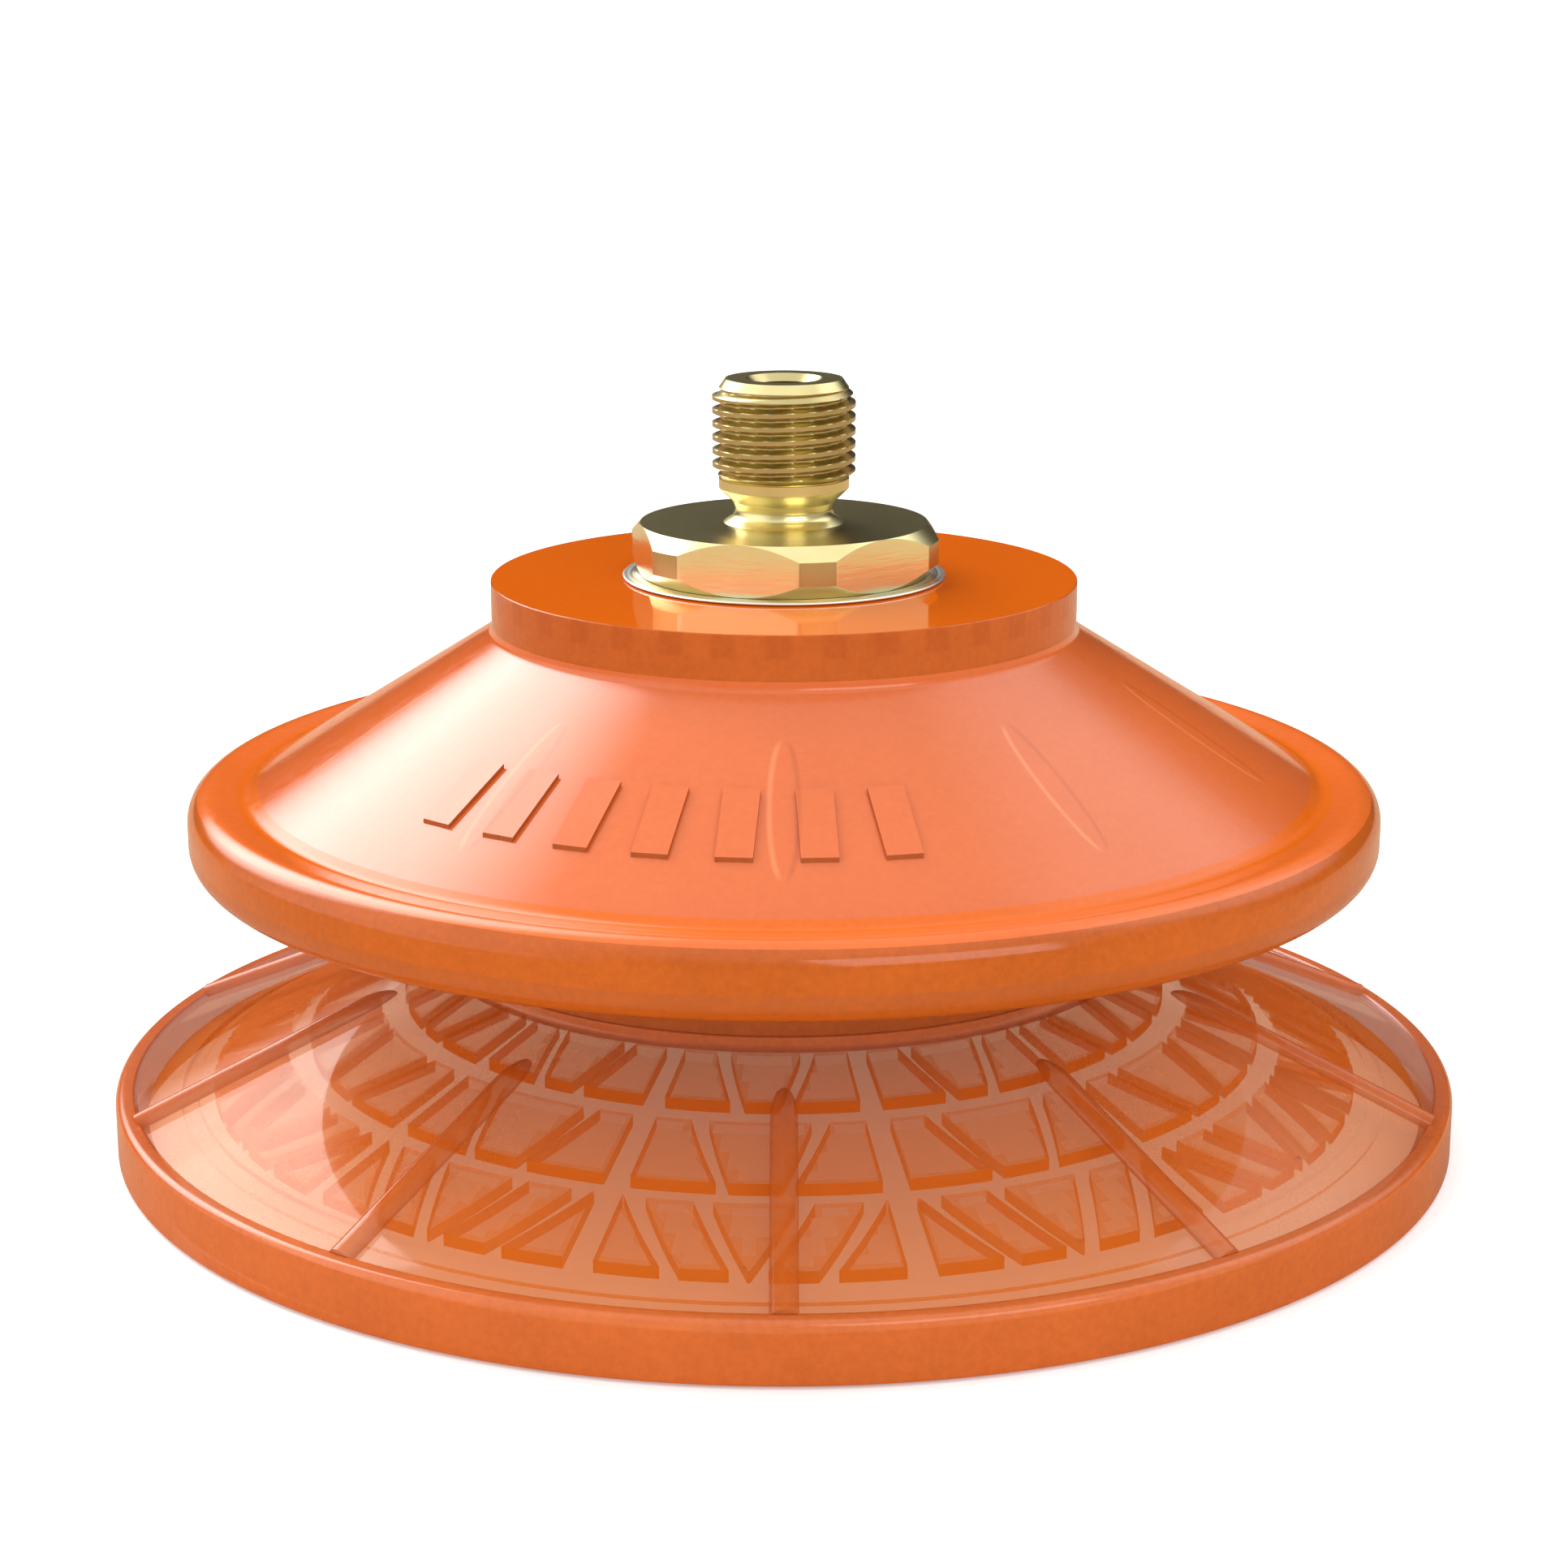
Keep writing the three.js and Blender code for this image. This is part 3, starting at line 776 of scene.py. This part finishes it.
def fitting():
    materials = [brass_turned, brass_flats, brass_highlit]
    # dull takes the brass painted darker, and bright takes the brass with the painted highlight.
    dull, flat, bright = range(3)
    male_high, male_low = MALE["high"], MALE["low"]
    heights = np.arange(male_high - 0.02, male_low + 0.02, -MALE["pitch"] / 20)
    male = [((MALE["root"] + MALE["crest"]) / 2, z) for z in heights]
    heights = np.arange(FEMALE["low"] + 0.02, FEMALE["high"] - 0.02, FEMALE["pitch"] / 10)
    female = [((FEMALE["root"] + FEMALE["crest"]) / 2, z) for z in heights]
    end_face = [(2.6, FIT_TOP), (3.9, FIT_TOP)]
    outside = rounded([
        (3.9, FIT_TOP), (3.98, FIT_TOP), (4.4, male_high + 0.05), (4.3, male_high),
    ], 0.3)
    waist = rounded([
        (4.3, male_low), (4.43, male_low - 0.05), (4.43, 44.6, 0.1), (3.5, 43.7, 0.35),
        (3.28, 43.2, 0.4), (3.42, 42.7, 0.8), (4.15, HEX_TOP - 0.02), (4.3, HEX_TOP - 0.4),
        (4.9, 40), (4.9, FIT_LOW + 0.5), (4.4, FIT_LOW), (STRAINER_R, FIT_LOW),
        (STRAINER_R, 30.0), (THROUGH_R, 30.0), (THROUGH_R, 42.6), (FEMALE["root"], FEMALE["low"]),
    ], 0.3)
    mouth = [(FEMALE["crest"], FEMALE["high"]), (2.6, FIT_TOP)]
    parts = [
        (end_face, dull), (outside, bright), (male, dull), (waist, bright), (female, dull),
        (mouth, bright),
    ]
    stem = lathe("fitting_fine", parts, materials, steps=144, sharp=24, shape=stem_shape)
    hidden_r = 3.0                  # inside the stem
    blank = lathe("hexagon", [
        ([(hidden_r, HEX_LOW), (HEX_FACE_R, HEX_LOW)], dull),
        ([(HEX_ROUND_R, HEX_LOW + HEX_CHAMFER)], bright),
        ([(HEX_ROUND_R, HEX_TOP - HEX_CHAMFER)], dull),
        ([(HEX_FACE_R, HEX_TOP)], bright),
        ([(hidden_r, HEX_TOP)], dull),
    ], materials, steps=240)
    corner = HEX_FLATS / math.sqrt(3)
    prism = []
    for z in (HEX_LOW - 1, HEX_TOP + 1):
        for i in range(6):
            a = math.radians(HEX_TURN + 60 * i)
            prism.append((corner * math.cos(a) * MM, corner * math.sin(a) * MM, z * MM))
    faces = [(5, 4, 3, 2, 1, 0), (6, 7, 8, 9, 10, 11)]
    faces += [(i, (i + 1) % 6, (i + 1) % 6 + 6, i + 6) for i in range(6)]
    blank = combine(blank, add_object("prism", prism, faces, materials, [flat] * 8), "INTERSECT")
    return combine(stem, blank, "UNION", 24)


def washer():
    low, thick = COLLAR_TOP + 0.01, 0.22
    line = rounded([
        (BORE_R, low), (WASHER_R - 0.15, low, 0.05), (WASHER_R, low + 0.12, 0.05),
        (WASHER_R - 0.1, low + thick, 0.05), (BORE_R, low + thick), (BORE_R, low),
    ], 0.5)
    return lathe("washer_fine", [(line, 0)], [steel], steps=144)


# ---- pieces in place: the skins baked, the fitting and washer on the head body -----------------
def at(z):
    return (0, 0, z * MM)


cup = cup_skin()
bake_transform(cup)
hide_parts("collar", "upper_bellows_wall", "bellows_convolution")

marks = raised_marks()
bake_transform(marks)

fold = fold_skin()
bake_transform(fold)
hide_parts("lower_bellows_wall")

neck = neck_skin()
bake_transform(neck)
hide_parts("bellows_neck")

lip = lip_skin()
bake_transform(lip)
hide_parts("lip_dish", "lip_rim", *(f"lip_rib_{i + 1:02d}" for i in range(RIB_COUNT)))

metal = fitting()
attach(metal, "head")
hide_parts("threaded_fitting")

ring = washer()
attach(ring, "head")
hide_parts("flange_washer")

NODE_LOOKS = {
    "clamp_insert": dark_steel,
    "clamp_washer": steel,
    "clamp_nut": brass_turned,
    "filter_screen": steel,
    "filter_ring": steel,
    "collar_seal": rubber_material(),
}
for node, material in NODE_LOOKS.items():
    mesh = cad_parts[node].data
    mesh.materials.clear()
    mesh.materials.append(material)


# ---- floor, light and camera -------------------------------------------------------------------
def floor():
    """A white floor, dimmer in reflections than it is lit."""
    n = Nodes(bpy.data.materials.new("pale_floor"))
    paint = n.ramp(n.noise(3, 2), [(0.3, (0.86, 0.86, 0.86)), (0.7, (0.88, 0.88, 0.88))])
    n.link(paint, n.shader.inputs["Base Color"])
    n.set(Roughness=0.9, Specular_IOR_Level=0.1)
    n.set(Emission_Color=(1, 1, 1, 1), Emission_Strength=0.24)
    dim = n.add("ShaderNodeBsdfDiffuse")
    dim.inputs["Color"].default_value = (0.46, 0.34, 0.23, 1)
    glossy = n.add("ShaderNodeLightPath").outputs["Is Glossy Ray"]
    n.link(glossy, n.surface(n.shader.outputs[0], dim.outputs[0]))
    reach, below, steps = 6.5, 0.0002, 96               # metres, and corners of the disc
    turns = [TAU * i / steps for i in range(steps)]
    verts = [(reach * math.cos(a), reach * math.sin(a), -below) for a in turns]
    ground = add_object("floor", verts, [tuple(range(steps))], [n.owner])


def area_light(name, place, target, size, power):
    data = bpy.data.lights.new(name, "AREA")
    data.shape = "RECTANGLE"
    data.size, data.size_y = size
    data.energy = power
    light = bpy.data.objects.new(name, data)
    light.location = place
    light.rotation_euler = (Vector(target) - Vector(place)).to_track_quat("-Z", "Y").to_euler()
    bpy.context.scene.collection.objects.link(light)


def studio_world():
    """A bright ceiling, a dark low back wall, a strong soft box behind on the left, and weak ones
    behind on the right and low on the left. The camera sees plain white."""
    world = bpy.data.worlds.new("studio")
    bpy.context.scene.world = world
    n = Nodes(world, "Generated")
    split = n.add("ShaderNodeSeparateXYZ")
    n.link(n.where, split.inputs[0])
    _, back, up = split.outputs
    ceiling = n.range(up, 0.45, 1.25, (0.35, 0.95))
    behind = n.calc(n.range(back, 0, 1, (0.1, 0.6)), n.range(up, 1, 0, (0.3, 0.6)), "MULTIPLY")
    room = n.calc(ceiling, n.calc(1, n.calc(behind, 0.96, "MULTIPLY"), "SUBTRACT"), "MULTIPLY")

    def soft_box(direction, strength, edge, full):
        towards = n.add("ShaderNodeVectorMath", operation="DOT_PRODUCT")
        n.link(n.where, towards.inputs[0])
        towards.inputs[1].default_value = Vector(direction).normalized()
        return n.range(towards.outputs["Value"], 0, strength, (edge, full))

    back_left = soft_box((-0.50, 0.62, 0.60), 6.4, 0.89, 0.985)
    back_right = soft_box((0.66, 0.36, 0.62), 0.9, 0.89, 0.96)
    low_left = soft_box((-0.95, -0.15, 0.15), 1.0, 0.6, 0.95)
    seen = n.add("ShaderNodeLightPath").outputs["Is Camera Ray"]
    lit = n.calc(room, n.calc(n.calc(back_left, back_right), low_left))
    hidden = n.calc(1, seen, "SUBTRACT")
    back_node = n.tree.nodes["Background"]
    n.link(n.calc(n.calc(lit, hidden, "MULTIPLY"), seen), back_node.inputs["Strength"])
    back_node.inputs["Color"].default_value = (1, 1, 1, 1)


def camera():
    data = bpy.data.cameras.new("camera")
    data.sensor_width = 36.0
    data.lens = 74.28
    data.clip_start, data.clip_end = 0.01, 20.0
    view = bpy.data.objects.new("camera", data)
    target, distance, elevation = Vector((0, 0, 23.73 * MM)), 225.0 * MM, math.radians(14.561)
    view.location = target + distance * Vector((0, -math.cos(elevation), math.sin(elevation)))
    view.rotation_euler = (target - view.location).to_track_quat("-Z", "Y").to_euler()
    bpy.context.scene.collection.objects.link(view)
    bpy.context.scene.camera = view


floor()
studio_world()
area_light("fill_front", (0.35, -0.60, 0.45), (0, 0, 0.02), (0.6, 0.4), 2.0)
camera()
bpy.context.scene.view_settings.view_transform = "Standard"

# ---- last update of the scene ------------------------------------------------------------------
bpy.context.view_layer.update()
